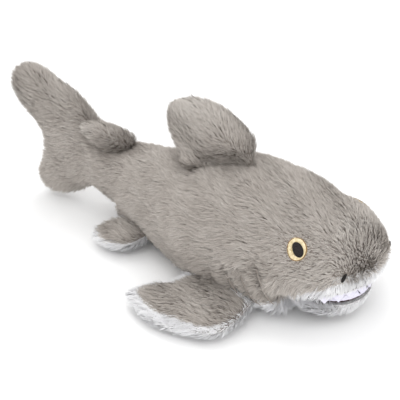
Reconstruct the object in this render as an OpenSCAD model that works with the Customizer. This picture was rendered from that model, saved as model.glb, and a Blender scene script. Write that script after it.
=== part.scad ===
// Plush shark: sewn fabric panels around loose filling, with soft sewn joints.
// Frame: +X towards the snout, +Y to the animal's left, +Z up, z = 0 is the surface it lies on.
// Each fabric panel is a thin sheet whose outside is the outside of its pile.

/* [Overall] */
// Distance from the origin to the tip of the snout
snout_x = 171; // [164:1:180]
// Widest half width of the trunk
trunk_half_w = 56; // [48:1:62]
// Thickness of a fabric panel with its pile pressed flat
fabric = 3; // [2:0.5:4]
// Clear space between pieces that move against each other
gap = 0.9; // [0.7:0.1:1.2]

/* [Head] */
// X of the mouth corners, which is also the jaw's hinge line
hinge_x = 120; // [116:1:124]
// Height of the mouth corners
hinge_z = 31; // [28:0.5:33]
// Height of the upper lip
lip_z = 32; // [30:0.5:34]
// How far the upper lip is tucked back under the snout
lip_tuck = 5; // [0:1:9]
// Length of the jaw in front of its hinge line
jaw_len = 43; // [38:1:45]
// Half width of the jaw at the mouth corners
jaw_half_w = 41; // [36:1:43]
// Depth of the jaw below the mouth
jaw_depth = 24; // [18:1:26]
// How far the mouth stands open at rest, in degrees
mouth_open = 12; // [8:1:13]
// Number of teeth in each row
teeth = 8; // [5:1:10]
// Length of the longest tooth
tooth_len = 6.5; // [3:0.5:7]

/* [Eyes] */
// Radius of the embroidered iris
iris_r = 8.2; // [6:0.1:10]
// Radius of the embroidered pupil
pupil_r = 5; // [3:0.5:5.5]

/* [Tail] */
// Radius of the round joint face between the trunk and the tail
tail_joint_r = 34; // [33:0.5:37]
// How far the tail is bent to the animal's right at rest, in degrees
tail_bend = 9; // [0:1:12]
// Half thickness of the tail fin
tail_fin_half_t = 10; // [7:0.5:12]

/* [Fins] */
// Half thickness of the dorsal fin
dorsal_half_t = 17; // [12:0.5:19]
// Half thickness of the pectoral fins
pectoral_half_t = 8; // [6:0.5:9]
// Slope of the pectoral fins below level, in degrees
pectoral_droop = 6; // [2:1:8]
// Half thickness of the pelvic fins
pelvic_half_t = 7; // [6:0.5:8]
// Slope of the pelvic fins below level, in degrees
pelvic_droop = 10; // [5:1:14]
// How far the second dorsal fin leans to the animal's right, in degrees
second_dorsal_lean = 48; // [36:1:56]

/* [Hidden] */

grey = [0.66, 0.63, 0.60];
white = [0.90, 0.90, 0.89];
felt = [0.87, 0.86, 0.91];
maroon = [0.22, 0.13, 0.15];
gold = [0.86, 0.74, 0.46];
black = [0.10, 0.10, 0.10];
fill = [0.97, 0.96, 0.92];

// Trunk sections: x, half width as a share of the widest, top, bottom, height of the widest line
TRUNK = [
    [-57, 0.45, 67, 14, 42], [-41, 0.53, 67, 9, 41], [-1, 0.71, 75, 0, 41], [44, 1.00, 86, -1.5, 42],
    [84, 0.99, 87, -1.5, 40], [106, 0.94, 85.5, 0, 36], [hinge_x, 0.86, 83, 3, lip_z]];
// Where the white belly panel meets the grey panels: x, angle below the horizontal
BELLY_SEAM = [[-22, 90], [3, 74], [44, 62], [84, 51], [100, 36], [108, 26], [hinge_x, 12]];
belly_end_x = -22;

side_power = 0.95;     // under 1 gives full, round upper flanks
under_power = 0.8;     // under 1 flattens the belly
snout_power = 0.75;    // under 1 gives a blunt snout
head_len = snout_x - hinge_x;

tail_c = [-59, 0, 42]; // centre of the round tail joint
rim_x = -40;           // station of the trunk's end section
tail_len = 110;
// Lower and upper outlines of the tail from the joint to the tips of its fin, as [x, z]
TAIL_LOW = [[-43, 11], [-61, 17], [-77, 23], [-89, 24], [-99, 17], [-113, 9], [-131, 4.5], [-143, 7]];
TAIL_TOP = [[-43, 67], [-61, 64], [-76, 65], [-89, 78], [-104, 96], [-125, 105], [-146, 114.5], [-167, 107]];
// Rear edge of the tail fin, from the lower tip to the upper tip
TAIL_REAR = [[-143, 7], [-150, 19], [-144, 34], [-140, 50], [-147, 65], [-162, 76], [-172, 91], [-167, 107]];

// Fin outlines: share of the span, front edge, rear edge
DORSAL = [[0, 31, -38], [0.3, 25, -42], [0.6, 14, -47], [1, -2, -40]];
SECOND_DORSAL = [[0, 14, -10], [0.5, 8, -20], [1, -4, -25]];
PECTORAL = [[0, 31, -29], [0.25, 33, -30], [0.5, 33, -44], [0.75, 29, -49], [1, 16, -41]];
PELVIC = [[0, 16, -15], [0.35, 15, -19], [0.7, 10, -21], [1, -1, -17]];

dorsal_root = [35, 0, 92.5];
dorsal_pitch = -8;     // the root line follows the back
dorsal_span = 32;
second_root = [-65, -6, 70];
second_pitch = 0;
second_half_t = 8;
second_span = 19;
pectoral_root = [74, 54.5, 13.5];
pectoral_span = 48;
pelvic_root = [-26, 32.3, 14.6];
pelvic_yaw = 13;       // the root line follows the flank
pelvic_span = 24;

fin_fabric = 2.5;      // thickness of the panels of the fins and the tail
slack = 0.25;          // room between a panel and the filling behind it
lining = 1.2;          // thickness of the mouth lining
felt_t = 1.2;          // thickness of the felt teeth
teeth_reach = 52;      // angle from the middle of the mouth to the last tooth
upper_inset = 3.6;     // felt teeth, inwards from the lip edge
lower_inset = 3.4;
muzzle_rise = 17;      // height of the white muzzle above the lip at the tip of the snout
jaw_back = 24;         // free angle behind the jaw that its opening uses
jaw_x = hinge_x + 1.5; // the jaw's hinge line, clear of the throat

trunk_rows = 16;
head_rows = 10;
upper_cols = 12;       // columns from the middle of the back to the widest line
lower_cols = 6;        // columns from the widest line to the belly seam
cap_rows = 5;          // rows that close a round end

// Value at x on a smooth curve through rows sorted by their first entry; k picks the column
function slope(rows, i, k) =
    let (a = max(i - 1, 0), b = min(i + 1, len(rows) - 1))
    (rows[b][k] - rows[a][k]) / (rows[b][0] - rows[a][0]);
function segment(rows, x, i = 0) =
    i >= len(rows) - 2 || x <= rows[i + 1][0] ? i : segment(rows, x, i + 1);
function along(rows, x, k = 1) =
    let (
        i = segment(rows, x),
        h = rows[i + 1][0] - rows[i][0],
        t = min(max((x - rows[i][0]) / h, 0), 1),
        m0 = slope(rows, i, k) * h,
        m1 = slope(rows, i + 1, k) * h)
    (2 * t ^ 3 - 3 * t ^ 2 + 1) * rows[i][k] + (t ^ 3 - 2 * t ^ 2 + t) * m0
    + (3 * t ^ 2 - 2 * t ^ 3) * rows[i + 1][k] + (t ^ 3 - t ^ 2) * m1;
// Point at share s along a smooth curve through evenly numbered points
function numbered(points) = [for (i = [0 : len(points) - 1]) [i / (len(points) - 1), each points[i]]];
function on_curve(points, s) =
    let (rows = numbered(points)) [along(rows, s, 1), along(rows, s, 2)];

// A power that keeps the sign, for rounded-square sections
function soft(v, power) = sign(v) * abs(v) ^ power;

// Trunk surface at x, at angle a up from the widest line, moved inwards by inset
function trunk(x, a, inset = 0) =
    let (
        w = trunk_half_w * along(TRUNK, x, 1) - inset,
        top = along(TRUNK, x, 2) - inset,
        low = along(TRUNK, x, 3) + inset,
        mid = along(TRUNK, x, 4))
    a >= 0
        ? [x, w * soft(cos(a), 1), mid + (top - mid) * soft(sin(a), side_power)]
        : [x, w * soft(cos(a), under_power), mid - (mid - low) * abs(sin(a)) ^ under_power];
// Head surface: turn goes from the trunk's plane (0) to the mouth (90), b from the middle to the side
function head(turn, b, inset = 0) =
    let (
        w = trunk_half_w * along(TRUNK, hinge_x, 1) - inset,
        h = along(TRUNK, hinge_x, 2) - lip_z - inset,
        z = h * soft(cos(turn), snout_power) * soft(cos(b), side_power),
        tuck = lip_tuck * max(0, 1 - z / 16) ^ 2 * sin(turn) * cos(b))
    [hinge_x + (head_len - inset) * soft(sin(turn), snout_power) * cos(b) - tuck, w * sin(b), lip_z + z];
// Turn at which the grey of the head meets the white of the muzzle
function muzzle_turn(b) =
    let (
        rise = muzzle_rise * max(0, min(1, (cos(b) - 0.1) / 0.66)),
        full = (along(TRUNK, hinge_x, 2) - lip_z) * soft(cos(b), side_power))
    rise <= 0.01 ? 90 : acos((rise / full) ^ (1 / snout_power));
// Jaw surface, about its hinge line: turn goes from straight down (0) to the mouth (90)
function jaw(turn, b, inset = 0) =
    let (
        z = (jaw_depth - inset) * soft(cos(turn), 0.65) * soft(cos(b), side_power),
        x = (jaw_len - inset) * soft(sin(turn), 0.75) * cos(b))
    [x, (jaw_half_w - inset) * sin(b), -z];

// A closed sheet between two grids of points with the same rows and columns. Each square of
// the grid is split along one diagonal, or along the other if falling is true.
module sheet(outer, inner, falling = false) {
    rows = len(outer);
    cols = len(outer[0]);
    half = rows * cols;
    points = concat([for (r = outer) each r], [for (r = inner) each r]);
    function quad(a, b, c, d) = falling ? [[b, c, d], [b, d, a]] : [[a, b, c], [a, c, d]];
    faces = concat(
        [for (i = [0 : rows - 2], j = [0 : cols - 2])
            each quad(i * cols + j, i * cols + j + 1, (i + 1) * cols + j + 1, (i + 1) * cols + j)],
        [for (i = [0 : rows - 2]) each concat(
            quad(i * cols, (i + 1) * cols, (i + 1) * cols + half, i * cols + half),
            quad((i + 1) * cols + cols - 1, i * cols + cols - 1,
                i * cols + cols - 1 + half, (i + 1) * cols + cols - 1 + half))],
        [for (j = [0 : cols - 2]) each concat(
            quad(j + 1, j, j + half, j + 1 + half),
            quad(half - cols + j, half - cols + j + 1, 2 * half - cols + j + 1, 2 * half - cols + j))],
        [for (i = [0 : rows - 2], j = [0 : cols - 2])
            each [for (f = quad(i * cols + j, i * cols + j + 1, (i + 1) * cols + j + 1, (i + 1) * cols + j))
                [f[2] + half, f[1] + half, f[0] + half]]]);
    polyhedron(points, real_faces(points, faces));
}

// A closed solid through rings of points, whose first and last rings have closed up
module loft(rings, falling = false) {
    rows = len(rings);
    cols = len(rings[0]);
    points = [for (r = rings) each r];
    faces = [for (i = [0 : rows - 2], j = [0 : cols - 1])
        let (a = i * cols + j, b = i * cols + (j + 1) % cols)
        each falling
            ? [[b, b + cols, a + cols], [b, a + cols, a]]
            : [[a, b, b + cols], [a, b + cols, a + cols]]];
    polyhedron(points, real_faces(points, faces));
}

// Faces that still have three different corners
function real_faces(points, faces) = [for (f = faces)
    if (norm(points[f[0]] - points[f[1]]) > 0.001 && norm(points[f[1]] - points[f[2]]) > 0.001
        && norm(points[f[2]] - points[f[0]]) > 0.001) f];

// The ring that a half ring and its mirror image in y make
function both_sides(half) = concat(half,
    [for (j = [len(half) - 2 : -1 : 1]) [half[j].x, -half[j].y, half[j].z]]);
module left_or_right(side) {
    mirror([0, side < 0 ? 1 : 0, 0]) children();
}

// A point of the trunk's end section, moved along x onto the round joint face of radius r
function on_joint(p, r) =
    [tail_c.x + sqrt(r ^ 2 - p.y ^ 2 - (p.z - tail_c.z) ^ 2), p.y, p.z];

trunk_step = (hinge_x - rim_x) / trunk_rows;
function trunk_x(i) = hinge_x - i * trunk_step;
function trunk_row(i, angles, inset) = [for (a = angles)
    let (p = trunk(trunk_x(i), a, inset)) i < trunk_rows ? p : on_joint(p, tail_joint_r + gap)];

// Angles of one row: from the middle of the back to the widest line, then down to the seam
function seam_angle(x) = x <= belly_end_x ? 90 : along(BELLY_SEAM, x);
function upper_angles() = [for (j = [0 : upper_cols]) 90 - 90 * j / upper_cols];
function lower_angles(x) = [for (j = [1 : lower_cols]) -seam_angle(x) * j / lower_cols];

module back_panel() {
    function row(i, inset) = trunk_row(i, concat(upper_angles(), lower_angles(trunk_x(i))), inset);
    function head_row(i, inset) = [for (j = [0 : upper_cols])
        let (b = 90 * j / upper_cols) head(muzzle_turn(b) * i / head_rows, b, inset)];
    union() {
        sheet([for (i = [trunk_rows : -1 : 0]) row(i, 0)], [for (i = [trunk_rows : -1 : 0]) row(i, fabric)]);
        sheet([for (i = [0 : head_rows]) head_row(i, 0)], [for (i = [0 : head_rows]) head_row(i, fabric)]);
    }
}

module belly_panel() {
    cols = 12;
    rows = [for (i = [trunk_rows : -1 : 0]) if (trunk_x(i) > belly_end_x) i];
    function row(x, inset) = [for (j = [0 : cols])
        trunk(x, -90 + (90 - seam_angle(x)) * (1 - 2 * j / cols), inset)];
    function strip(inset) = concat([row(belly_end_x, inset)], [for (i = rows) row(trunk_x(i), inset)]);
    difference() {
        sheet(strip(0), strip(fabric));
        translate([-60, -60, -20])
            cube([200, 120, 20]);
    }
}

side_cols = 2 * upper_cols;
function side_angle(j) = 90 - 180 * j / side_cols;
module muzzle_panel() {
    angles = [for (j = [0 : side_cols]) -side_angle(j)];
    function row(k, inset) = [for (b = angles)
        let (edge = muzzle_turn(abs(b))) head(edge + (90 - edge) * k / 3, b, inset)];
    sheet([for (k = [0 : 3]) row(k, 0)], [for (k = [0 : 3]) row(k, fabric)]);
}

// Solid between a curved surface, given as rows of points, and the line of the mouth corners
module wedge(rows, axis_x, axis_z) {
    sheet(rows, [for (r = rows) [for (p = r) [axis_x, p.y, axis_z]]]);
}

module body_filling() {
    function half_ring(i) = trunk_row(i, concat(upper_angles(), lower_angles(trunk_x(i)),
        [for (k = [1 : lower_cols]) let (s = seam_angle(trunk_x(i))) -s - (90 - s) * k / lower_cols]), fabric + slack);
    joint_ring = both_sides(half_ring(trunk_rows));
    function shrunk(k) = [for (p = joint_ring)
        on_joint([0, p.y, tail_c.z + (p.z - tail_c.z)] * (k / cap_rows)
            + [0, 0, tail_c.z * (1 - k / cap_rows)], tail_joint_r + gap)];
    front_ring = both_sides(half_ring(0));
    difference() {
        union() {
            loft(concat(
                [for (k = [0 : cap_rows - 1]) shrunk(k)],
                [for (i = [trunk_rows : -1 : 0]) both_sides(half_ring(i))],
                [[for (p = front_ring) [hinge_x, 0, lip_z]]]));
            wedge([for (i = [0 : head_rows]) [for (j = [0 : side_cols])
                head(90 * i / head_rows, -side_angle(j), fabric + slack)]], hinge_x, lip_z);
        }
        translate([hinge_x, -trunk_half_w, lip_z - 10])
            cube([head_len, 2 * trunk_half_w, 10 + lining]);
    }
}

module palate_lining() {
    translate([0, 0, lip_z])
        linear_extrude(lining)
            polygon([for (j = [1 : side_cols - 1])
                let (p = head(90, side_angle(j), fabric + 0.4)) [max(p.x, hinge_x + 2), p.y]]);
}

// Length of a tooth at x, kept clear of the other lip
function tooth(x) = min(tooth_len, (x - jaw_x) * tan(mouth_open) + lip_z - hinge_z - 0.8);
module upper_teeth() {
    function angle(k) = (k / teeth - 1) * teeth_reach;
    function row(d, tips) = [for (k = [0 : 2 * teeth])
        let (p = head(90, angle(k), d))
        [p.x, p.y, lip_z - (tips ? (k % 2 == 1 ? tooth(p.x) : 1) : 0)]];
    sheet([row(upper_inset, false), row(upper_inset, true)],
        [row(upper_inset + felt_t, false), row(upper_inset + felt_t, true)]);
}

module jaw_pose() {
    translate([jaw_x, 0, hinge_z]) rotate([0, mouth_open, 0]) children();
}
function jaw_rows(inset) = [for (i = [0 : head_rows]) [for (j = [0 : side_cols])
    jaw(jaw_back + (90 - jaw_back) * i / head_rows, side_angle(j), inset)]];
module jaw_panel() {
    jaw_pose() sheet(jaw_rows(0), jaw_rows(fabric));
}
module jaw_filling() {
    jaw_pose() difference() {
        wedge(jaw_rows(fabric + slack), 0, 0);
        translate([-10, -jaw_half_w, -lining])
            cube([jaw_len + 20, 2 * jaw_half_w, 10]);
    }
}
module jaw_lining() {
    jaw_pose()
        translate([0, 0, -lining])
            linear_extrude(lining)
                polygon([for (j = [1 : side_cols - 1])
                    let (p = jaw(90, side_angle(j), fabric + 0.4)) [max(p.x, 2), p.y]]);
}
module lower_teeth() {
    function angle(k) = (k / teeth - 1) * teeth_reach;
    function row(d, tips) = [for (k = [0 : 2 * teeth])
        let (p = jaw(90, angle(k), d))
        [p.x, p.y, tips ? (k % 2 == 0 ? tooth(p.x + jaw_x) : 1) : 0]];
    jaw_pose() sheet([row(lower_inset, true), row(lower_inset, false)],
        [row(lower_inset + felt_t, true), row(lower_inset + felt_t, false)]);
}

// Point on the head, u of the way to the snout at side angle b and at height up off the surface
function at_head(u, b) = head(asin(u ^ (1 / snout_power)), b);
function on_head(u, b, up) =
    let (
        across = at_head(u, b + 1) - at_head(u, b - 1),
        ahead = at_head(u + 0.01, b) - at_head(u - 0.01, b),
        n = cross(ahead, across))
    at_head(u, b) + up * n / norm(n);
// A thin oval of embroidery on the left side of the head, with its long axis upright
module embroidery(u, b, half_w, half_h, lean, low, high) {
    across = norm(at_head(u, b + 1) - at_head(u, b - 1)) / 2;
    ahead = norm(at_head(u + 0.01, b) - at_head(u - 0.01, b)) / 0.02;
    function ring(r, up) = [for (f = [0 : 15 : 345])
        let (
            p = r * (half_w * cos(f) * cos(lean) + half_h * sin(f) * sin(lean)),
            q = r * (half_h * sin(f) * cos(lean) - half_w * cos(f) * sin(lean)))
        on_head(u + p / ahead, b + q / across, up)];
    loft(concat([for (r = [0, 0.5, 1]) ring(r, high)], [for (r = [1, 0.5, 0]) ring(r, low)]));
}

eye_u = 0.32;          // share of the way from the mouth corners to the snout
eye_b = 52;
eye_lean = 44;         // how far the top of the eye leans back
pupil_ahead = 0.035;   // how far the pupil sits ahead of the middle of the eye, as a share like eye_u
pupil_lean = 58;
nostril_u = 0.965;
nostril_b = 35;
module iris() {
    embroidery(eye_u, eye_b, 0.76 * iris_r, iris_r, eye_lean, 0.05, 0.9);
}
module pupil() {
    embroidery(eye_u + pupil_ahead, eye_b, 0.65 * pupil_r, 1.12 * pupil_r, pupil_lean, 0.95, 1.6);
}
module nostril() {
    embroidery(nostril_u, nostril_b, 1.2, 3, 50, 0.05, 0.9);
}

// Thread that holds a gill tuck on the left flank: x at its top, angles at its top and bottom
GILLS = [[86, -4, -33], [97, 2, -30], [108, 11, -18]];
module gill_stitches() {
    thread = 0.8;
    run = 11.5;
    steps = 6;
    sides = [0 : 60 : 300];
    function spine(g, t) = trunk(g[0] + run * t, g[1] + (g[2] - g[1]) * t, -0.1 - thread);
    function ring(g, k) = let (r = k == 0 || k == steps ? 0.3 : thread)
        [for (f = sides) spine(g, k / steps) + r * [cos(f), 0, -sin(f)]];
    for (g = GILLS)
        loft(concat(
            [[for (f = sides) spine(g, 0)]],
            [for (k = [0 : steps]) ring(g, k)],
            [[for (f = sides) spine(g, 1)]]));
}

// Ladder stitches that close the belly seam after the toy is filled
module closing_stitches() {
    for (x = [5 : 6 : 35]) {
        p = trunk(x, -seam_angle(x), -1);
        translate(p) rotate([90, 0, 0]) cylinder(h = 4, r = 0.5, center = true, $fn = 8);
    }
}

// Fin surface in its own frame: X along the root line, Y outwards to the tip, Z through the fin.
// Rows below root_rows go round the root's bead; s is then the share of the span.
root_rows = 3;
function root_bead(half_t) = min(6, half_t - 3); // radius of the bead a fin turns on
fin_shares = [0, 0.12, 0.27, 0.44, 0.6, 0.74, 0.85, 0.93, 0.98, 1];
fin_cols = 10;
function round_off(s, from) = s <= from ? 1 : sqrt(max(0, 1 - ((s - from) / (1 - from)) ^ 2));
function fin_row(edges, span, half_t, i, inset, face) =
    let (
        root_r = root_bead(half_t),
        turn = min(90 * i / root_rows, 90),
        s = fin_shares[max(0, i - root_rows)],
        front = along(edges, s, 1),
        rear = along(edges, s, 2),
        half = ((front - rear) / 2 - inset) * round_off(s, 0.7),
        swell = root_r + (half_t - root_r) * (1 - (1 - min(s / 0.25, 1)) ^ 2),
        t = (swell - inset) * round_off(s, 0.3) * sin(turn),
        y = i < root_rows ? -(root_r - inset) * cos(turn) : s * (span - inset))
    [for (j = [0 : fin_cols])
        let (f = 180 * j / fin_cols)
        [(front + rear) / 2 + half * cos(f), y, s == 1 ? 0 : face * t * soft(sin(f), 0.8)]];
fin_rows = root_rows + len(fin_shares) - 1;
module fin_panel(edges, span, half_t, face) {
    function grid(inset) = [for (i = [0 : fin_rows])
        let (r = fin_row(edges, span, half_t, i, inset, face))
        face > 0 ? r : [for (j = [fin_cols : -1 : 0]) r[j]]];
    sheet(grid(0), grid(fin_fabric), falling = true);
}
module fin_filling(edges, span, half_t) {
    loft([for (i = [0 : fin_rows])
        let (
            up = fin_row(edges, span, half_t, i, fin_fabric + slack, 1),
            down = fin_row(edges, span, half_t, i, fin_fabric + slack, -1))
        concat(up, [for (j = [fin_cols - 1 : -1 : 1]) down[j]])], falling = true);
}

module dorsal_pose() {
    translate(dorsal_root) rotate([0, dorsal_pitch, 0]) rotate([90, 0, 0]) children();
}
module second_dorsal_pose() {
    tail_pose() translate(second_root) rotate([second_dorsal_lean, 0, 0])
        rotate([0, second_pitch, 0]) rotate([90, 0, 0]) children();
}
module pectoral_pose(side) {
    left_or_right(side) translate(pectoral_root) rotate([-pectoral_droop, 0, 0]) children();
}
module pelvic_pose(side) {
    left_or_right(side) translate(pelvic_root) rotate([0, 0, pelvic_yaw]) rotate([-pelvic_droop, 0, 0]) children();
}
module tail_pose() {
    translate(tail_c) rotate([0, 0, tail_bend]) translate(-tail_c) children();
}

// Tail and its fin as one side view that thins to a seam all round
tail_shares = [0, 0.08, 0.16, 0.25, 0.34, 0.43, 0.52, 0.61, 0.7, 0.79, 0.87, 0.94, 0.985, 1];
tail_cols = 20;
function tail_side(s, t) =
    let (
        v = (t + 1) / 2,
        low = on_curve(TAIL_LOW, s),
        top = on_curve(TAIL_TOP, s),
        rear = on_curve(TAIL_REAR, v),
        front = TAIL_LOW[0] + (TAIL_TOP[0] - TAIL_LOW[0]) * v,
        blend = TAIL_LOW[0] * (1 - s) * (1 - v) + TAIL_TOP[0] * (1 - s) * v
            + TAIL_LOW[len(TAIL_LOW) - 1] * s * (1 - v) + TAIL_TOP[len(TAIL_TOP) - 1] * s * v)
    low * (1 - v) + top * v + front * (1 - s) + rear * s - blend;
function tail_half(s) = s < 0.5
    ? trunk_half_w * along(TRUNK, rim_x, 1) * (1 - s / 0.5) + tail_fin_half_t * 1.3 * s / 0.5
    : tail_fin_half_t * (1.3 - 0.6 * (s - 0.5));
function tail_row(s, inset) =
    let (height = norm(on_curve(TAIL_TOP, s) - on_curve(TAIL_LOW, s)), n = 2 + 1.6 * s)
    [for (j = [0 : tail_cols])
        let (
            t = sin(180 * j / tail_cols - 90),
            p = tail_side(s * (1 - inset / tail_len), t * (1 - 2 * inset / height)),
            y = (tail_half(s) - inset) * (1 - abs(t) ^ n) ^ (1 / n) * round_off(s, 0.75))
        s == 0 ? on_joint([0, y, p.y], tail_joint_r) : [p.x, s == 1 ? 0 : y, p.y]];
function tail_rows(inset) = [for (s = tail_shares) tail_row(s, inset)];
module tail_panel() {
    sheet(tail_rows(0), tail_rows(fin_fabric));
}
module tail_filling() {
    rows = [for (r = tail_rows(fin_fabric + slack)) both_sides(r)];
    cap = [for (k = [0 : cap_rows - 1]) let (s = k / cap_rows)
        [for (p = rows[0]) on_joint([0, p.y * s, tail_c.z + (p.z - tail_c.z) * s], tail_joint_r)]];
    loft(concat(cap, rows));
}

color(grey) back_panel();  // back_panel_left
color(grey) left_or_right(-1) back_panel();  // back_panel_right
color(white) belly_panel();
color(white) muzzle_panel();
color(maroon) palate_lining();
color(felt) upper_teeth();
color(fill) body_filling();
color(gold) iris();  // iris_left
color(gold) left_or_right(-1) iris();  // iris_right
color(black) pupil();  // pupil_left
color(black) left_or_right(-1) pupil();  // pupil_right
color(black) nostril();  // nostril_left
color(black) left_or_right(-1) nostril();  // nostril_right
color(grey) gill_stitches();  // gill_stitches_left
color(grey) left_or_right(-1) gill_stitches();  // gill_stitches_right
color(white) closing_stitches();

color(white) jaw_panel();
color(maroon) jaw_lining();
color(felt) lower_teeth();
color(fill) jaw_filling();

color(grey) dorsal_pose() fin_panel(DORSAL, dorsal_span, dorsal_half_t, -1);  // dorsal_fin_left
color(grey) dorsal_pose() fin_panel(DORSAL, dorsal_span, dorsal_half_t, 1);  // dorsal_fin_right
color(fill) dorsal_pose() fin_filling(DORSAL, dorsal_span, dorsal_half_t);  // dorsal_fin_filling

color(grey) second_dorsal_pose() fin_panel(SECOND_DORSAL, second_span, second_half_t, -1);  // second_dorsal_left
color(grey) second_dorsal_pose() fin_panel(SECOND_DORSAL, second_span, second_half_t, 1);  // second_dorsal_right
color(fill) second_dorsal_pose() fin_filling(SECOND_DORSAL, second_span, second_half_t);  // second_dorsal_filling

color(grey) pectoral_pose(1) fin_panel(PECTORAL, pectoral_span, pectoral_half_t, 1);  // pectoral_left_top
color(white) pectoral_pose(1) fin_panel(PECTORAL, pectoral_span, pectoral_half_t, -1);  // pectoral_left_underside
color(fill) pectoral_pose(1) fin_filling(PECTORAL, pectoral_span, pectoral_half_t);  // pectoral_left_filling
color(grey) pectoral_pose(-1) fin_panel(PECTORAL, pectoral_span, pectoral_half_t, 1);  // pectoral_right_top
color(white) pectoral_pose(-1) fin_panel(PECTORAL, pectoral_span, pectoral_half_t, -1);  // pectoral_right_underside
color(fill) pectoral_pose(-1) fin_filling(PECTORAL, pectoral_span, pectoral_half_t);  // pectoral_right_filling

color(grey) pelvic_pose(1) fin_panel(PELVIC, pelvic_span, pelvic_half_t, 1);  // pelvic_left_top
color(white) pelvic_pose(1) fin_panel(PELVIC, pelvic_span, pelvic_half_t, -1);  // pelvic_left_underside
color(fill) pelvic_pose(1) fin_filling(PELVIC, pelvic_span, pelvic_half_t);  // pelvic_left_filling
color(grey) pelvic_pose(-1) fin_panel(PELVIC, pelvic_span, pelvic_half_t, 1);  // pelvic_right_top
color(white) pelvic_pose(-1) fin_panel(PELVIC, pelvic_span, pelvic_half_t, -1);  // pelvic_right_underside
color(fill) pelvic_pose(-1) fin_filling(PELVIC, pelvic_span, pelvic_half_t);  // pelvic_right_filling

color(grey) tail_pose() tail_panel();  // tail_panel_left
color(grey) tail_pose() left_or_right(-1) tail_panel();  // tail_panel_right
color(fill) tail_pose() tail_filling();
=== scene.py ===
import math

import bpy
import numpy as np
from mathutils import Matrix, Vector
from mathutils.bvhtree import BVHTree
from mathutils.kdtree import KDTree


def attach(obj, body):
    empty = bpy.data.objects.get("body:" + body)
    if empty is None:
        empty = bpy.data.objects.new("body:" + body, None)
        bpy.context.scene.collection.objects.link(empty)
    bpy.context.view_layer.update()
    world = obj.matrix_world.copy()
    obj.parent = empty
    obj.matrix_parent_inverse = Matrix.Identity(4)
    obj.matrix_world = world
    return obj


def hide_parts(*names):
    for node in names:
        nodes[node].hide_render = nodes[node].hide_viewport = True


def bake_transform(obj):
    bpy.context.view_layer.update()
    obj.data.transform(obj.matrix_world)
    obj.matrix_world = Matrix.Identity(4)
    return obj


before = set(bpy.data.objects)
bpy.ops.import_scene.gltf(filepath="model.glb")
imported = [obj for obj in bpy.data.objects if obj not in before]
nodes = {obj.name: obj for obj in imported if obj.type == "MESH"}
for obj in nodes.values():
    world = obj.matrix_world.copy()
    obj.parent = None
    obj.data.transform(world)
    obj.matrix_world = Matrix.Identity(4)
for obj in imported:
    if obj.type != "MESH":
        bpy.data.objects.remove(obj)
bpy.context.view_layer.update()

rng = np.random.default_rng(11)
scene = bpy.context.scene
MM = 0.001
SIDE = {"left": 1, "right": -1}

# ---------------------------------------------------------------- sizes of the soft parts, in mm

TRUNK_VOXEL, FIN_VOXEL = 3.0, 1.8  # how finely each kind of skin is remeshed
PILE_ROOM = 2.7  # how far the backing lies under the outer face of the pile
FIN_ROOM = 1.4  # the same on the fins
PRESSURE = 3.0  # of the filling, as the cloth simulation's force
PUFF = 1.6  # the furthest that the filling pushes the cloth
SETTLE_FRAMES = 14  # frames of simulation
LOWEST = 0.4  # height of the lowest backing above the floor
TUCK_DEPTH, TUCK_RIDGE, TUCK_WIDTH, RIDGE_AT = 4.8, 2.4, 2.0, 5.0  # a gill tuck and the ridge beside it
FACE_REACH = 4.5  # how far round the eyes and nostrils the cloth lies close under the embroidery

DENSITY, QUICK_DENSITY = 2.6, 0.7  # strands to a square mm
PILE_LENGTH, PILE_SPREAD = 7.2, 1.1
STRAND_WIDTH = (0.30, 0.58)
TUFT = 0.45  # how far the tips of a tuft lean together
TUFT_SHARE = 0.16  # the share of strands that lead a tuft
PIECE_STRANDS = 62000  # keeps a piece of pile under 200,000 triangles
PECTORAL_EDGE, PELVIC_EDGE = 4.2, 1.5  # width of the white edging that shows over a fin
OVERHANG, REAR_OVERHANG = 5.0, 4.0  # how far the grey pile hangs over the muzzle's seam, and more at its rear
EYE_CLEAR = 5.2  # no pile grows closer than this to the middle of a pupil

# landmarks in mm: distances along the toy towards its nose, and heights
NECK = 105  # the head's shorter pile begins
CHEEK = 112  # the rear ends of the muzzle
FOREHEAD = 120
SNOUT = 150
LIP_TOP, LIP_GAP, CHIN = 45, 33, 12
DORSAL_REAR, DORSAL_MIDDLE = 47, 98  # the rear half of the dorsal fin, and its upper half
SECOND_REAR = -66
TAIL_ROOT, TAIL_MIDDLE = -85, 48


def srgb(r, g, b):
    """Linear colour, with full opacity, of a display colour given from 0 to 255."""
    out = []
    for v in (r, g, b):
        v /= 255
        out.append(v / 12.92 if v <= 0.04045 else ((v + 0.055) / 1.055) ** 2.4)
    return (*out, 1.0)


def share(v, none, full):
    """0 where v is at none or beyond it, 1 where it is at full or beyond it, and even between."""
    return np.clip((v - none) / (full - none), 0, 1)


def hill(v, width):
    """1 where v is 0, falling away over this width."""
    return np.exp(-((v / width) ** 2))


# ---------------------------------------------------------------- materials


def new_material(name, rough, specular):
    m = bpy.data.materials.new(name)
    m.use_nodes = True
    p = m.node_tree.nodes["Principled BSDF"]
    p.inputs["Roughness"].default_value = rough
    p.inputs["Specular IOR Level"].default_value = specular
    return m, m.node_tree, p


def noise(t, scale, detail):
    """A noise texture over the object's own coordinates."""
    place = t.nodes.new("ShaderNodeTexCoord")
    texture = t.nodes.new("ShaderNodeTexNoise")
    texture.inputs["Scale"].default_value = scale
    texture.inputs["Detail"].default_value = detail
    t.links.new(place.outputs["Object"], texture.inputs["Vector"])
    return texture


def attribute(t, name):
    """A value that each strand carries."""
    found = t.nodes.new("ShaderNodeAttribute")
    found.attribute_name = name
    return found.outputs["Fac"]


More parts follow.
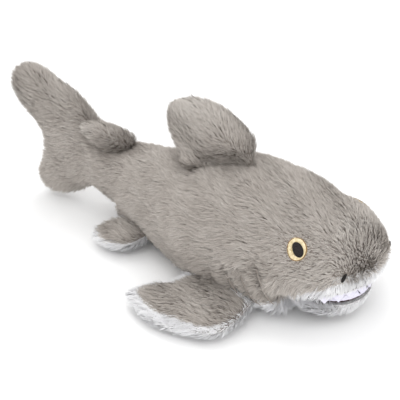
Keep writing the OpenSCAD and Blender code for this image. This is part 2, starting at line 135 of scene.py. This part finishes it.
def plush(name, dark, light, pale, root):
    """Fur pile: a tone for each strand, darker towards the backing as painted shade deep in the pile, with
    slow patches over the cloth.
    """
    m, t, p = new_material(name, 0.85, 0.2)
    level = t.nodes.new("ShaderNodeMath")
    level.operation = "MULTIPLY_ADD"
    level.inputs[1].default_value = 0.5
    t.links.new(noise(t, 55, 3).outputs["Fac"], level.inputs[0])
    t.links.new(attribute(t, "tone"), level.inputs[2])
    ramp = t.nodes.new("ShaderNodeValToRGB")
    first, last = ramp.color_ramp.elements
    first.position, first.color = 0.2, dark
    last.position, last.color = 1.0, pale
    ramp.color_ramp.elements.new(0.65).color = light
    t.links.new(level.outputs[0], ramp.inputs["Fac"])
    # painted shade: each strand darkens from its tip down to the root colour
    mix = t.nodes.new("ShaderNodeMix")
    mix.data_type = "RGBA"
    mix.inputs["A"].default_value = root
    t.links.new(attribute(t, "along"), mix.inputs["Factor"])
    t.links.new(ramp.outputs["Color"], mix.inputs["B"])
    t.links.new(mix.outputs["Result"], p.inputs["Base Color"])
    return m


def cloth(name, low, high, scale, rough=0.9, bump=0.3):
    """Backing, felt, lining cloth or thread: two near colours in a fine noise, with a slight relief."""
    m, t, p = new_material(name, rough, 0.25)
    grain = noise(t, scale, 5).outputs["Fac"]
    ramp = t.nodes.new("ShaderNodeValToRGB")
    first, last = ramp.color_ramp.elements
    first.position, first.color = 0.3, low
    last.position, last.color = 0.7, high
    t.links.new(grain, ramp.inputs["Fac"])
    t.links.new(ramp.outputs["Color"], p.inputs["Base Color"])
    relief = t.nodes.new("ShaderNodeBump")
    relief.inputs["Strength"].default_value = bump
    relief.inputs["Distance"].default_value = 0.4 * MM
    t.links.new(grain, relief.inputs["Height"])
    t.links.new(relief.outputs["Normal"], p.inputs["Normal"])
    return m


# the last colour of each pile is painted shade at the strands' roots
GREY = plush("grey_pile", srgb(168, 160, 153), srgb(200, 193, 186), srgb(222, 217, 211),
             srgb(146, 138, 131))
WHITE = plush("white_pile", srgb(218, 218, 221), srgb(247, 247, 248), srgb(252, 252, 252),
              srgb(232, 231, 232))
GREY_BACK = cloth("grey_backing", srgb(118, 110, 104), srgb(146, 138, 131), 900)
WHITE_BACK = cloth("white_backing", srgb(200, 198, 197), srgb(222, 221, 221), 900)
FELT = cloth("felt", srgb(218, 215, 232), srgb(240, 238, 248), 1400, bump=0.5)
MOUTH = cloth("mouth_cloth", srgb(40, 20, 26), srgb(66, 38, 44), 1100, bump=0.4)
GOLD = cloth("gold_thread", srgb(196, 172, 118), srgb(236, 222, 184), 700, rough=0.45, bump=0.4)
CREAM = cloth("cream_thread", srgb(214, 198, 158), srgb(246, 238, 212), 700, rough=0.45, bump=0.4)
BLACK = cloth("black_thread", srgb(22, 20, 20), srgb(52, 48, 47), 900, rough=0.5, bump=0.4)
BROWN = cloth("brown_thread", srgb(96, 66, 34), srgb(150, 110, 62), 700, rough=0.5, bump=0.4)
THREAD = cloth("sewing_thread", srgb(120, 112, 106), srgb(160, 152, 145), 900)
WHITE_THREAD = cloth("white_thread", srgb(205, 204, 203), srgb(236, 236, 236), 900)

# ---------------------------------------------------------------- mesh helpers


def mesh_arrays(ob):
    """Points, triangles and point normals of a mesh."""
    me = ob.data
    me.calc_loop_triangles()
    co = np.empty(len(me.vertices) * 3, np.float32)
    me.vertices.foreach_get("co", co)
    tri = np.empty(len(me.loop_triangles) * 3, np.int32)
    me.loop_triangles.foreach_get("vertices", tri)
    no = np.empty(len(me.vertices) * 3, np.float32)
    me.vertices.foreach_get("normal", no)
    return co.reshape(-1, 3).astype(float), tri.reshape(-1, 3), no.reshape(-1, 3).astype(float)


def set_points(ob, co):
    ob.data.vertices.foreach_set("co", np.asarray(co, np.float32).ravel())
    ob.data.update()


def shade_smooth(me):
    me.polygons.foreach_set("use_smooth", np.ones(len(me.polygons), bool))


def unit(v):
    return v / np.maximum(np.linalg.norm(v, axis=-1, keepdims=True), 1e-12)


def linked(name, me):
    """A new object in the scene with this mesh."""
    ob = bpy.data.objects.new(name, me)
    scene.collection.objects.link(ob)
    return ob


def joined(name, names):
    """One new object with copies of these CAD nodes."""
    verts, faces, n = [], [], 0
    for k in names:
        co, tri, _ = mesh_arrays(nodes[k])
        verts.append(co)
        faces.append(tri + n)
        n += len(co)
    me = bpy.data.meshes.new(name)
    me.from_pydata(np.concatenate(verts).tolist(), [], np.concatenate(faces).tolist())
    return linked(name, me)


def apply_modifier(ob, kind, **settings):
    mod = ob.modifiers.new(kind, kind)
    for k, v in settings.items():
        setattr(mod, k, v)
    bpy.ops.object.select_all(action="DESELECT")
    ob.select_set(True)
    bpy.context.view_layer.objects.active = ob
    bpy.ops.object.modifier_apply(modifier=mod.name)


def remesh(ob, size):
    apply_modifier(ob, "REMESH", mode="VOXEL", voxel_size=size * MM, use_smooth_shade=True)


def smooth(ob, factor, times):
    apply_modifier(ob, "SMOOTH", factor=factor, iterations=times)


def inset(ob, depth):
    co, _, no = mesh_arrays(ob)
    set_points(ob, co - no * depth * MM)


def tree(ob):
    co, tri, _ = mesh_arrays(ob)
    return BVHTree.FromPolygons(co.tolist(), tri.tolist())


def distances(points, trees):
    """Distance of each point from the nearest of several surfaces."""
    best = np.full(len(points), 1.0)
    for t in trees:
        best = np.minimum(best, [t.find_nearest(Vector(p), 0.05)[3] or 1.0 for p in points])
    return best


def nearness(points, targets):
    """Distance of each point from its nearest target, and which target that is."""
    kd = KDTree(len(targets))
    for i, p in enumerate(targets):
        kd.insert(p, i)
    kd.balance()
    found = [kd.find(p) for p in points]
    return np.array([f[2] for f in found]), np.array([f[1] for f in found])


def inflate(ob, pinned):
    """Fills the fabric shell: a cloth simulation under pressure, seams held and movement limited."""
    rest, _, _ = mesh_arrays(ob)
    group = ob.vertex_groups.new(name="seam")
    for i in np.nonzero(pinned)[0]:
        group.add([int(i)], 1.0, "REPLACE")
    mod = ob.modifiers.new("stuffing", "CLOTH")
    mod.settings.use_pressure = True
    mod.settings.uniform_pressure_force = PRESSURE
    mod.settings.tension_stiffness = 12
    mod.settings.compression_stiffness = 12
    mod.settings.bending_stiffness = 1.5
    mod.settings.mass = 0.15
    mod.settings.quality = 4
    mod.settings.vertex_group_mass = "seam"
    mod.settings.effector_weights.gravity = 0
    for f in range(1, SETTLE_FRAMES + 1):
        scene.frame_set(f)
    dg = bpy.context.evaluated_depsgraph_get()
    done = ob.evaluated_get(dg).to_mesh()
    co = np.empty(len(done.vertices) * 3, np.float32)
    done.vertices.foreach_get("co", co)
    ob.evaluated_get(dg).to_mesh_clear()
    ob.modifiers.clear()
    scene.frame_set(1)
    move = co.reshape(-1, 3).astype(float) - rest
    far = np.linalg.norm(move, axis=1, keepdims=True)
    move *= np.minimum(1, PUFF * MM / np.maximum(far, 1e-9))
    move[~np.isfinite(move)] = 0
    set_points(ob, rest + move)


# ---------------------------------------------------------------- which piece is which cloth

GREY_STARTS = ("back_panel", "tail_panel", "dorsal_fin", "second_dorsal")
PANELS_GREY = [k for k in nodes if (k.startswith(GREY_STARTS) and "filling" not in k) or k.endswith("_top")]
WHITE_NAMES = ("belly_panel", "muzzle_panel", "jaw_panel")
PANELS_WHITE = [k for k in nodes if k in WHITE_NAMES or k.endswith("_underside")]


def is_grey(points, members, band=0.0):
    """True where the nearest panel is grey, leaving a white band along the seam where one is asked for."""
    grey = [tree(nodes[k]) for k in PANELS_GREY if k in members]
    white = [tree(nodes[k]) for k in PANELS_WHITE if k in members]
    if not white:
        return np.ones(len(points), bool)
    if not grey:
        return np.zeros(len(points), bool)
    return distances(points, grey) + band * MM < distances(points, white)


TRUNK = ["back_panel_left", "back_panel_right", "belly_panel", "muzzle_panel", "body_filling",
         "tail_panel_left", "tail_panel_right", "tail_filling"]
SKINS = {
    "body_and_tail": TRUNK,
    "jaw": ["jaw_panel", "jaw_filling"],
    "dorsal_fin": ["dorsal_fin_left", "dorsal_fin_right", "dorsal_fin_filling"],
    "second_dorsal_fin": ["second_dorsal_left", "second_dorsal_right", "second_dorsal_filling"],
}
# the skins that span two bodies, left unattached here: the two bodies, and the points in metres between which
# a turn would be shared out
BENDS = {
    "body_and_tail": ("body", "tail", (-0.035, 0, 0.042), (-0.083, 0, 0.042)),
    "dorsal_fin": ("body", "dorsal_fin", (0.035, 0, 0.0905), (0.0366, 0, 0.102)),
    "second_dorsal_fin": ("tail", "second_dorsal_fin", (-0.064, -0.0055, 0.0688), (-0.0628, -0.0132, 0.0762)),
}
# the root of each fin: a point on it in metres, the way out to the tip, and the way through the fin
ROOTS = {
    "dorsal_fin": ((0.035, 0, 0.0925), (0.139, 0, 0.990), (0, 1, 0)),
    "second_dorsal_fin": ((-0.064, -0.0069, 0.070), (0.116, -0.734, 0.669), (0, 0.674, 0.739)),
}
for side in SIDE:
    for fin, start, end, root, out, through in (
            ("pectoral", (0.074, 0.0525, 0.0135), (0.074, 0.0625, 0.0125),
             (0.074, 0.0545, 0.0135), (0, 0.995, -0.105), (0, 0.105, 0.995)),
            ("pelvic", (-0.026, 0.0313, 0.0146), (-0.028, 0.0395, 0.0130),
             (-0.026, 0.0323, 0.0146), (-0.222, 0.960, -0.174), (0, 0.174, 0.985))):
        places = (start, end, root, out, through)
        start, end, root, out, through = ((x, y * SIDE[side], z) for x, y, z in places)
        name = f"{fin}_fin_{side}"
        SKINS[name] = [f"{fin}_{side}_{k}" for k in ("top", "underside", "filling")]
        BENDS[name] = ("body", name, start, end)
        ROOTS[name] = (root, out, through)

# each fin's base in mm: how deep it goes into the trunk, how wide it flares, the radius of its bead,
# half its thickness and its span
BASES = {"dorsal": (15, 20, 6, 17, 32), "second": (8, 11, 5, 8, 19), "pectoral": (7, 8.5, 5, 8, 48),
         "pelvic": (6, 7.5, 4, 7, 24)}


def place(ob, key):
    if key in BENDS:
        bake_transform(ob)
    else:
        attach(ob, key)


def points_of(name):
    """The points of both sides' nodes of this name."""
    return np.concatenate([mesh_arrays(nodes[f"{name}_{s}"])[0] for s in SIDE])


eye_centres = np.array([mesh_arrays(nodes[f"pupil_{s}"])[0].mean(0) for s in SIDE])
eye_points = points_of("iris")
nose_points = points_of("nostril")
gill_points = points_of("gill_stitches")

# ---------------------------------------------------------------- the stuffed skins


def seam_mask(points, members, reach):
    """True close to where two panels of this skin meet."""
    trees = [tree(nodes[k]) for k in members if "filling" not in k]
    if len(trees) < 2:
        return np.zeros(len(points), bool)
    gaps = [[t.find_nearest(Vector(p), 0.03)[3] or 1.0 for p in points] for t in trees]
    return np.sort(np.array(gaps), axis=0)[1] < reach * MM


def spread_base(ob, key):
    """Runs a fin's base down into the trunk, and flares it where they meet."""
    start, out, through = (np.array(v, float) for v in ROOTS[key])
    deep, base, bead, half, span = BASES[key.split("_")[0]]
    co, _, _ = mesh_arrays(ob)
    rise = (co - start) @ out / MM
    room = share(rise, 13, -4)[:, None]
    wide = ((co - start) @ through)[:, None]
    grown = bead + (half - bead) * (1 - (1 - share(rise[:, None], 0, 0.25 * span)) ** 2)
    wide *= room * np.maximum(base / grown - 1, 0)
    ahead = (co[:, 0] - start[0]) / MM
    if key == "dorsal_fin":
        wide *= (0.1 + 0.9 * share(ahead, -30, -2))[:, None]
    move = through * wide - out * room * deep * MM
    if key == "dorsal_fin":  # the rear of its base is gathered forwards
        move[:, 0] += room[:, 0] * 12 * MM * share(ahead, 0, -38)
    set_points(ob, co + move)


def shape_face(ob, depth):
    """Sews the gill tucks into the trunk, and lifts the cloth to the embroidery of the face."""
    co, _, no = mesh_arrays(ob)
    d = np.maximum(nearness(co, gill_points)[0] / MM - depth, 0)
    dent = TUCK_DEPTH * hill(d, TUCK_WIDTH) - TUCK_RIDGE * hill(d - RIDGE_AT, TUCK_WIDTH)
    face, _ = nearness(co, np.concatenate([eye_points, nose_points]))
    dent -= (depth - 0.5) * hill(np.maximum(face / MM - depth, 0), FACE_REACH)
    set_points(ob, co - no * dent[:, None] * MM)


def back_with_cloth(ob, members):
    """Gives each face of the backing the colour of its panel."""
    me = ob.data
    me.materials.append(GREY_BACK)
    me.materials.append(WHITE_BACK)
    centre = np.empty(len(me.polygons) * 3, np.float32)
    me.polygons.foreach_get("center", centre)
    grey = is_grey(centre.reshape(-1, 3).astype(float), members)
    me.polygons.foreach_set("material_index", np.where(grey, 0, 1).astype(np.int32))
    shade_smooth(me)
    me.update()


def make_skin(key, members):
    """The stuffed backing of one skin, from its CAD panels and filling."""
    ob = joined(f"{key}_plush", members)
    trunk = key == "body_and_tail"
    depth = FIN_ROOM if key in ROOTS else PILE_ROOM
    remesh(ob, TRUNK_VOXEL if trunk else FIN_VOXEL)
    smooth(ob, 0.5, 4 if trunk else 3)
    inset(ob, depth)
    smooth(ob, 0.5, 3)
    if key in ROOTS:
        spread_base(ob, key)
    inflate(ob, seam_mask(mesh_arrays(ob)[0], members, depth + 0.6))
    smooth(ob, 0.4, 2)
    if trunk:
        shape_face(ob, depth)
    co, _, _ = mesh_arrays(ob)
    co[:, 2] = np.maximum(co[:, 2], LOWEST * MM)
    set_points(ob, co)
    back_with_cloth(ob, members)
    return ob


# ---------------------------------------------------------------- the pile


def pile_points(ob, density):
    """Points spread evenly over a mesh, and the normals there."""
    co, tri, no = mesh_arrays(ob)
    a, b, c = co[tri[:, 0]], co[tri[:, 1]], co[tri[:, 2]]
    area = np.linalg.norm(np.cross(b - a, c - a), axis=1) / 2
    count = int(area.sum() * 1e6 * density)
    pick = rng.choice(len(tri), count, p=area / area.sum())
    r = rng.random((count, 2))
    fold = r.sum(1) > 1
    r[fold] = 1 - r[fold]
    u, v = r[:, :1], r[:, 1:]
    p = a[pick] + (b - a)[pick] * u + (c - a)[pick] * v
    n = no[tri[pick, 0]] * (1 - u - v) + no[tri[pick, 1]] * u + no[tri[pick, 2]] * v
    return p, unit(n)


def lined(key, p, n):
    """True on the faces inside the mouth and over the throat, where there is lining and no pile."""
    x, y, z = p.T
    if key == "body_and_tail":
        palate = ((x - 0.12) / 0.050) ** 2 + (y / 0.048) ** 2 < 0.80
        return palate & (x > 0.118) & (n[:, 2] < -0.55) & (z > 0.028) & (z < 0.046)
    if key == "jaw":
        tongue = ((x - 0.1215) / 0.042) ** 2 + (y / 0.041) ** 2 < 0.66
        throat = (n[:, 0] < -0.5) & (x < 0.126)
        return (tongue & (n[:, 2] > 0.6)) | throat
    return np.zeros(len(p), bool)


def lay(key, p):
    """The way the pile lies at points p: from the nose back, and out along each fin."""
    d = np.tile([-1.0, 0.0, 0.0], (len(p), 1))
    x, y, z = p.T / MM
    if key == "body_and_tail":
        tail = share(x, TAIL_ROOT, TAIL_ROOT - 50)  # the pile fans out over the two lobes
        d[:, 2] = -0.22 + tail * ((z - TAIL_MIDDLE) / 50 + 0.22)
        corner = share(x, CHEEK, CHEEK + 6) * share(x, 160, 152) * share(z, 44, 36) * (z > 26)
        snout = share(x, SNOUT - 2, SNOUT + 16) * share(z, LIP_TOP + 1, LIP_TOP + 11)
        d[:, 2] += 1.2 * snout - 2.2 * corner
        d[:, 1] += 0.9 * snout * np.sin(0.19 * y + 0.14 * z)
    elif key == "jaw":
        d[:, 2] = -0.5 + 2.4 * share(x, 156, 148) * share(z, CHIN, CHIN + 6)
        d[:, 1] += 0.3 * np.sin(0.15 * y)
    elif key == "dorsal_fin":
        d[:] = (-0.85, 0, 0.75)
    elif key == "second_dorsal_fin":
        d[:] = (-0.8, -0.45, 0.45)
    else:
        d[:, 1] = (0.8 if "pectoral" in key else 0.5) * np.sign(y)
    return d


def lip_share(p):
    """How far each point is a part of the lips and cheeks, where the pile is long."""
    x, _, z = p.T / MM
    return share(x, CHEEK, CHEEK + 6) * share(x, 157, 149) * share(z, LIP_TOP, LIP_TOP - 6) * (z > CHIN)


def fin_rear(p):
    """How far each point of the dorsal fin is in its upper rear part."""
    x, _, z = p.T / MM
    return share(x, DORSAL_REAR, DORSAL_REAR - 30) * share(z, DORSAL_MIDDLE, DORSAL_MIDDLE + 20)


def trim(key, p, to_gill, length, rise):
    """Trims the pile: close round the eyes, nostrils, mouth and tucks, and long at the cheeks."""
    x, _, z = p.T / MM
    if "pectoral" in key:
        length *= 0.88
    if key == "dorsal_fin":
        length *= 0.9 * (1 + 0.15 * fin_rear(p))
    if key not in ("body_and_tail", "jaw"):
        return
    to_eye = nearness(p, eye_points)[0] / MM
    to_nose = nearness(p, nose_points)[0] / MM
    face = share(to_eye, 8.5, 2.5)
    lip = lip_share(p)
    length *= 1 - 0.28 * share(x, NECK, NECK + 30)
    length *= 1 - 0.62 * face
    length *= 1 - 0.55 * share(to_nose, 6, 2)
    length *= 1 - 0.35 * share(np.abs(z - LIP_GAP), 9, 0) * (x > SNOUT + 4)
    length *= 1 - 0.45 * hill((to_gill - 2.8).clip(0), 2.0)
    rise += 0.35 * share(x, SNOUT, SNOUT + 12) - 0.25 * face - 0.35 * lip
    if key == "body_and_tail":
        length += 3.5 * lip
        return
    front = share(x, SNOUT, SNOUT + 6) * share(z, 10, 16)  # the lower teeth stand clear of the jaw's front
    length += 3.0 * lip + 1.5 * share(x, 142, 122) * share(z, 30, 22)
    length *= 1 - 0.5 * front
    rise -= 0.2 * front


def shade(key, p, to_gill, tone):
    """Tone of the pile: painted shade in the gill tucks and round the second dorsal, pale at the fins' rear
    edges.
    """
    x = p[:, 0] / MM
    if key == "body_and_tail":
        # painted shade: the pile darkens in the gill tucks and round the base of the second dorsal fin
        fin = distances(p, [tree(nodes[f"second_dorsal_{s}"]) for s in SIDE]) / MM
        tone += 0.16 * share(x, FOREHEAD, SNOUT) - hill((to_gill - 2.6).clip(0), 1.5) - 0.5 * hill(fin, 9)
    if key == "dorsal_fin":
        tone += 0.3 * fin_rear(p)
    if key == "second_dorsal_fin":
        tone += 0.3 * share(x, SECOND_REAR, SECOND_REAR - 15)


def seam_band(key, p):
    """Width of white over the seam, or of grey where it is negative."""
    if key == "body_and_tail":
        x, _, z = p.T / MM
        return -(OVERHANG + REAR_OVERHANG * share(x, 136, FOREHEAD)) * (x > CHEEK) * (z > 24)
    return PECTORAL_EDGE if "pectoral" in key else PELVIC_EDGE if "pelvic" in key else 0.0


def strands(name, root, normal, along, length, rise, width, tone, lead, white):
    """Real tapered strands, gathered into tufts, as one mesh with its own places on a baked map."""
    n = len(root)
    side = unit(np.cross(along, normal))
    lean = rise[:, None]
    length = length[:, None]
    mid = root + length * 0.45 * (along * np.cos(lean) + normal * np.sin(lean))
    tip = mid + length * 0.55 * (along * np.cos(lean * 0.5) + normal * np.sin(lean * 0.5))
    mid += (mid[lead] - mid) * TUFT * 0.45
    tip += (tip[lead] - tip) * TUFT
    roll = rng.uniform(-0.9, 0.9, n)[:, None]
    across = side * np.cos(roll) + normal * np.sin(roll)
    low = across * (width / 2)[:, None]
    high = low * 0.85
    v = np.stack([root - low, root + low, mid + high, mid - high, tip], 1)
    v[:, :, 2] = np.maximum(v[:, :, 2], 0.12 * MM)
    me = bpy.data.meshes.new(name)
    me.vertices.add(n * 5)
    me.vertices.foreach_set("co", v.astype(np.float32).ravel())
    first = np.arange(n, dtype=np.int32)[:, None]
    me.loops.add(n * 7)
    me.loops.foreach_set("vertex_index", (first * 5 + np.array([0, 1, 2, 3, 3, 2, 4], np.int32)).ravel())
    me.polygons.add(n * 2)
    me.polygons.foreach_set("loop_start", (first * 7 + np.array([0, 4], np.int32)).ravel())
    shade_smooth(me)
    me.update(calc_edges=True)
    shares = np.tile([0.0, 0.0, 0.75, 0.75, 1.0], n)
    # tone carries the painted shade of the tucks and the second dorsal, and along sets the painted shade
    # towards the roots
    for value, numbers in (("tone", np.repeat(tone, 5)), ("along", shares)):
        me.attributes.new(value, "FLOAT", "POINT").data.foreach_set("value", numbers.astype(np.float32))
    cells = math.ceil(math.sqrt(n))
    cell = np.stack([np.arange(n) % cells, np.arange(n) // cells], 1)
    quad = [[0.1, 0.1], [0.9, 0.1], [0.9, 0.6], [0.1, 0.6]]
    point = [[0.1, 0.6], [0.9, 0.6], [0.5, 0.95]]
    places = (cell[:, None, :] + np.array(quad + point)) / cells
    me.uv_layers.new(name="OFBake").data.foreach_set("uv", places.astype(np.float32).ravel())
    t = unit(tip - root)
    face = unit(normal - t * np.sum(normal * t, 1, keepdims=True))
    face = unit(face + across * rng.uniform(-0.3, 0.3, n)[:, None] + normal * 0.5)
    me.normals_split_custom_set_from_vertices(np.repeat(face, 5, axis=0).astype(np.float32))
    me.materials.append(WHITE if white else GREY)
    return linked(name, me)


def grow(key, skin, members):
    """The whole pile of one skin, in pieces of one colour and of limited size."""
    p, n = pile_points(skin, DENSITY)
    bare = lined(key, p, n)
    p, n = p[~bare], n[~bare]
    to_gill = nearness(p, gill_points)[0] / MM
    length = rng.normal(PILE_LENGTH, PILE_SPREAD, len(p)).clip(4.5, 10)
    rise = rng.normal(0.80, 0.18, len(p)).clip(0.2, 1.3)
    trim(key, p, to_gill, length, rise)
    tone = rng.normal(0.34, 0.15, len(p))
    shade(key, p, to_gill, tone)
    wiggle = rng.normal(0, 0.28, len(p))[:, None]
    d = lay(key, p)
    d = d + rng.normal(0, 0.12, d.shape)
    d = unit(d - n * np.sum(d * n, 1, keepdims=True))
    swirl = 0.35 * np.sin(p[:, :1] * 130 + p[:, 1:2] * 170 + p[:, 2:] * 110)
    d = unit(d + np.cross(n, d) * (wiggle + swirl))
    leads = np.nonzero(rng.random(len(p)) < TUFT_SHARE)[0]
    lead = leads[nearness(p, p[leads])[1]]
    tips = p + (d * 0.75 + n * 0.35) * (length * MM)[:, None]
    grey = is_grey(tips, members, seam_band(key, p))
    if key in ("body_and_tail", "jaw"):
        tone -= 0.35 * lip_share(p) * ~grey
    clear = np.min(np.linalg.norm(p[:, None, :] - eye_centres[None], axis=2), 1) > EYE_CLEAR * MM
    made = []
    for white in (False, True):
        want = np.nonzero((grey != white) & clear)[0]
        if not len(want):
            continue
        pieces = math.ceil(len(want) / PIECE_STRANDS)
        want = want[np.argsort(p[want, 0], kind="stable")]
        for i, part in enumerate(np.array_split(want, pieces)):
            index = np.full(len(p), -1)
            index[part] = np.arange(len(part))
            local = index[lead[part]]
            local = np.where(local < 0, np.arange(len(part)), local)
            width = rng.uniform(*STRAND_WIDTH, len(part)) * MM * 1
            name = f"{key}_pile_" + ("white" if white else "grey") + (f"_{i + 1}" if pieces > 1 else "")
            ob = strands(name, p[part] - n[part] * 0.2 * MM, n[part], d[part], length[part] * MM,
                         rise[part], width, tone[part], local, white)
            made.append(ob)
    return made


for key, members in SKINS.items():
    skin = make_skin(key, members)
    for ob in grow(key, skin, members):
        place(ob, key)
    place(skin, key)
    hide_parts(*members)

# ---------------------------------------------------------------- felt, lining and thread


def soft_copy(node, body, material, voxel, rough):
    """A cut-cloth copy of a thin CAD piece, with rounded edges and a slightly uneven face."""
    ob = joined(f"{node}_cloth", [node])
    remesh(ob, voxel)
    smooth(ob, 0.5, 2)
    co, _, no = mesh_arrays(ob)
    x, y, z = co.T / MM
    wave = np.sin(2.3 * x + 0.9 * y) * np.sin(2.1 * y - 1.3 * z)
    set_points(ob, co + no * (wave * rough * MM)[:, None])
    ob.data.materials.append(material)
    shade_smooth(ob.data)
    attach(ob, body)
    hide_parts(node)


soft_copy("upper_teeth", "body", FELT, 0.45, 0.08)
soft_copy("lower_teeth", "jaw", FELT, 0.45, 0.08)
soft_copy("palate_lining", "body", MOUTH, 0.6, 0.1)
soft_copy("jaw_lining", "jaw", MOUTH, 0.6, 0.1)


def threads(name, paths, radius, material):
    """Round threads of the body along these paths, thin at their ends, as one mesh."""
    verts, faces, n, sides = [], [], 0, 5
    turn = np.arange(sides) * 2 * math.pi / sides
    cos, sin = np.cos(turn)[None, :, None], np.sin(turn)[None, :, None]
    for path in paths:
        path = np.asarray(path)
        t = unit(np.gradient(path, axis=0))
        a = unit(np.cross(t, np.array([0.31, 0.52, 0.79])))  # any direction off the threads will do
        b = np.cross(t, a)
        k = len(path)
        r = np.full(k, radius * MM)
        r[0] = r[-1] = radius * MM * 0.3
        rings = path[:, None] + r[:, None, None] * (cos * a[:, None] + sin * b[:, None])
        verts.append(rings.reshape(-1, 3))
        for i in range(k - 1):
            low, high = n + i * sides, n + (i + 1) * sides
            for j in range(sides):
                q = (j + 1) % sides
                faces.append((low + j, low + q, high + q, high + j))
        faces.append(tuple(n + j for j in range(sides))[::-1])
        faces.append(tuple(n + (k - 1) * sides + j for j in range(sides)))
        n += k * sides
    me = bpy.data.meshes.new(name)
    me.from_pydata(np.concatenate(verts).tolist(), [], faces)
    me.materials.append(material)
    shade_smooth(me)
    ob = linked(name, me)
    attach(ob, "body")


def oval(node):
    """Centre, long axis, short axis, outward normal and half sizes of a thin oval of embroidery."""
    co, _, _ = mesh_arrays(nodes[node])
    c = co.mean(0)
    _, _, axes = np.linalg.svd(co - c, full_matrices=False)
    head_middle = np.array([0.12, 0, 0.045])
    out = axes[2] * np.sign(axes[2] @ (c - head_middle))
    q = (co - c) @ axes.T
    return c, axes[0], axes[1], out, np.abs(q[:, 0]).max(), np.abs(q[:, 1]).max()


def stitched(node, steps, gap, inner=None, bow=0.25):
    """Stitch paths over an oval: rows across it, or spokes from an inner oval out to its rim."""
    c, long, short, out, half_l, half_s = oval(node)
    surface = tree(nodes[node])
    paths = []

    def drop(p, lift):
        hit = surface.ray_cast(Vector(p + out * 10 * MM), Vector(-out), 30 * MM)
        return (np.array(hit[0]) if hit[0] else p) + out * lift * MM

    if inner is None:
        count = max(3, int(2 * half_l / (gap * MM)))
        for i in range(count):
            s = -1 + (2 * i + 1) / count
            row = c + long * s * half_l * 0.98
            reach = short * half_s * math.sqrt(max(0.0, 1 - s * s)) * 0.99
            paths.append([drop(row + reach * x, 0.12 + bow * (1 - x * x)) for x in np.linspace(-1, 1, steps)])
    else:
        count = int(math.pi * (half_l + half_s) / (gap * MM))
        for i in range(count):
            f = 2 * math.pi * i / count
            edge = rng.uniform(0.955, 1.0)
            ray = long * math.cos(f) * half_l + short * math.sin(f) * half_s
            spoke = []
            for x in np.linspace(0, 1, steps):
                lift = 0.10 + bow * math.sin(math.pi * x) ** 0.5
                spoke.append(drop(c + ray * (inner + (edge - inner) * x), lift))
            paths.append(spoke)
    return paths


def outline(node):
    """A path round the rim of an oval of embroidery, lying on its face."""
    c, long, short, out, half_l, half_s = oval(node)
    surface = tree(nodes[node])
    rim = []
    for f in np.linspace(0, 2 * math.pi, 49):
        q = c + 0.965 * (long * math.cos(f) * half_l + short * math.sin(f) * half_s)
        rim.append(np.array(surface.find_nearest(Vector(q + out * 2 * MM))[0]) + out * 0.2 * MM)
    return rim


for side in SIDE:
    spokes = stitched(f"iris_{side}", 6, 0.42, inner=0.52)
    threads(f"iris_{side}_satin_a", spokes[::2], 0.27, GOLD)
    threads(f"iris_{side}_satin_b", spokes[1::2], 0.27, CREAM)
    threads(f"iris_{side}_outline", [outline(f"iris_{side}")], 0.34, BROWN)
    threads(f"pupil_{side}_satin", stitched(f"pupil_{side}", 7, 0.42), 0.27, BLACK)
    threads(f"nostril_{side}_satin", stitched(f"nostril_{side}", 5, 0.5), 0.25, BLACK)

NODE_CLOTH = {"iris": GOLD, "pupil": BLACK, "nostril": BLACK, "gill_stitches": THREAD,
              "closing_stitches": WHITE_THREAD}
for name, ob in nodes.items():
    for start, material in NODE_CLOTH.items():
        if name.startswith(start):
            ob.data.materials.clear()
            ob.data.materials.append(material)

# ---------------------------------------------------------------- floor, light and camera

REACH = 4  # half the floor's width, in metres
floor_mesh = bpy.data.meshes.new("floor")
corners = [(-REACH, -REACH, 0), (REACH, -REACH, 0), (REACH, REACH, 0), (-REACH, REACH, 0)]
floor_mesh.from_pydata(corners, [], [(0, 1, 2, 3)])
floor_mesh.materials.append(cloth("paper", srgb(250, 250, 250), srgb(253, 253, 253), 3, bump=0.0))
linked("floor", floor_mesh)

world = bpy.data.worlds.new("studio")
scene.world = world
world.use_nodes = True
world.node_tree.nodes["Background"].inputs["Color"].default_value = (1, 1, 1, 1)
world.node_tree.nodes["Background"].inputs["Strength"].default_value = 0.95


def lamp(name, where, size, power):
    """A square lamp that faces the toy."""
    data = bpy.data.lights.new(name, "AREA")
    data.size = size
    data.energy = power
    ob = linked(name, data)
    ob.location = where
    ob.rotation_euler = (Vector((0.015, 0, 0.04)) - Vector(where)).to_track_quat("-Z", "Y").to_euler()


lamp("key", (0.5, -0.7, 1.1), 0.9, 5)
lamp("top", (-0.4, 0.3, 1.2), 1.0, 4)
lamp("front_fill", (0.75, -0.35, 0.22), 0.5, 0.6)

azimuth, elevation, distance = math.radians(40.3), math.radians(29.14), 0.7784
target = Vector((0.015, 0, 0.0426))
ahead = math.cos(elevation)
back = Vector((math.sin(azimuth) * ahead, -math.cos(azimuth) * ahead, math.sin(elevation)))
camera = linked("camera", bpy.data.cameras.new("camera"))
camera.location = target + back * distance
camera.rotation_euler = (-back).to_track_quat("-Z", "Y").to_euler()
camera.data.lens = 93.9
camera.data.sensor_width = 36
camera.data.clip_start = 0.01
camera.data.clip_end = 100
scene.camera = camera
scene.view_settings.view_transform = "Standard"
